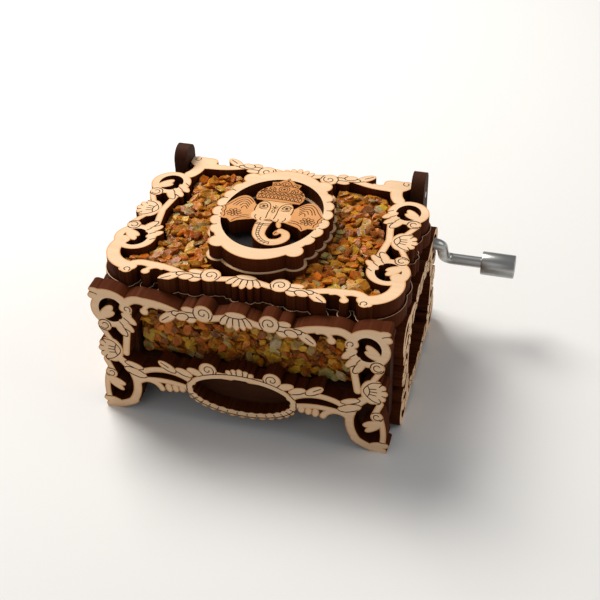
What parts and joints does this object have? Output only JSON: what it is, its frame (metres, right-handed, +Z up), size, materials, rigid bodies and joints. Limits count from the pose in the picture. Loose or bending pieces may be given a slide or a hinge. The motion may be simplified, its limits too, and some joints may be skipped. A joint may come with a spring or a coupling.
{
  "type": "hand-cranked music box",
  "caption": "Small plywood music box with fretwork layers, amber chip beds, an elephant-head medallion lid and a bent-wire crank driving a pinned cylinder.",
  "frame": {"origin": "on the table, under the middle of the box", "axes": "+X to the crank side, +Y to the back, +Z up"},
  "size_m": [0.0978, 0.0613, 0.0448],
  "materials": {
    "dark_wood": "stained dark brown, burnt edges",
    "light_wood": "pale birch plywood with burnt cut edges",
    "amber": "glossy amber chips in clear glue",
    "steel": "dull nickel plate",
    "zinc": "cast, matt",
    "brass": "plain",
    "white_plastic": "moulded"
  },
  "bodies": {
    "box": {"base_board": "dark_wood", "left_wall": "dark_wood", "right_wall": "dark_wood", "front_wall": "dark_wood", "back_wall": "dark_wood", "front_spacer": "dark_wood", "front_fretwork": "light_wood", "left_fretwork": "light_wood", "right_fretwork": "light_wood", "back_fretwork": "light_wood", "front_chips": "amber", "hinge_pins": "steel", "bedplate": "zinc", "comb": "steel", "comb_screws": "steel", "movement_screws": "steel", "bracket_screws": "steel", "front_cylinder_bracket": "zinc", "rear_cylinder_bracket": "zinc", "inner_crank_bracket": "zinc", "outer_crank_bracket": "zinc"},
    "lid": {"lid_board": "dark_wood", "lid_border": "light_wood", "lid_chips": "amber", "medallion_ground": "dark_wood", "medallion_ring": "light_wood", "elephant_head": "light_wood"},
    "crank": {"crank_rod": "steel", "worm_shaft": "steel"},
    "knob": {"crank_knob": "steel"},
    "cylinder": {"music_cylinder": "brass", "cylinder_caps": "brass", "cylinder_arbor": "steel", "worm_wheel": "white_plastic"}
  },
  "joints": [
    {"name": "lid_hinge", "type": "hinge", "parent": "box", "child": "lid", "pos_m": [0, 0.0278, 0.0386], "axis": [-1, 0, 0], "range_deg": [0, 105]},
    {"name": "crank_turn", "type": "hinge", "parent": "box", "child": "crank", "pos_m": [0.0404, 0.02, 0.029], "axis": [1, 0, 0], "continuous": true},
    {"name": "knob_spin", "type": "hinge", "parent": "crank", "child": "knob", "pos_m": [0.055, 0.0268, 0.01997], "axis": [1, 0, 0], "continuous": true},
    {"name": "cylinder_turn", "type": "hinge", "parent": "box", "child": "cylinder", "pos_m": [0.01, 0.003, 0.0208], "axis": [0, 1, 0], "continuous": true}
  ],
  "couplings": [
    {"joint": "cylinder_turn", "follows": "crank_turn", "ratio": -0.05}
  ]
}
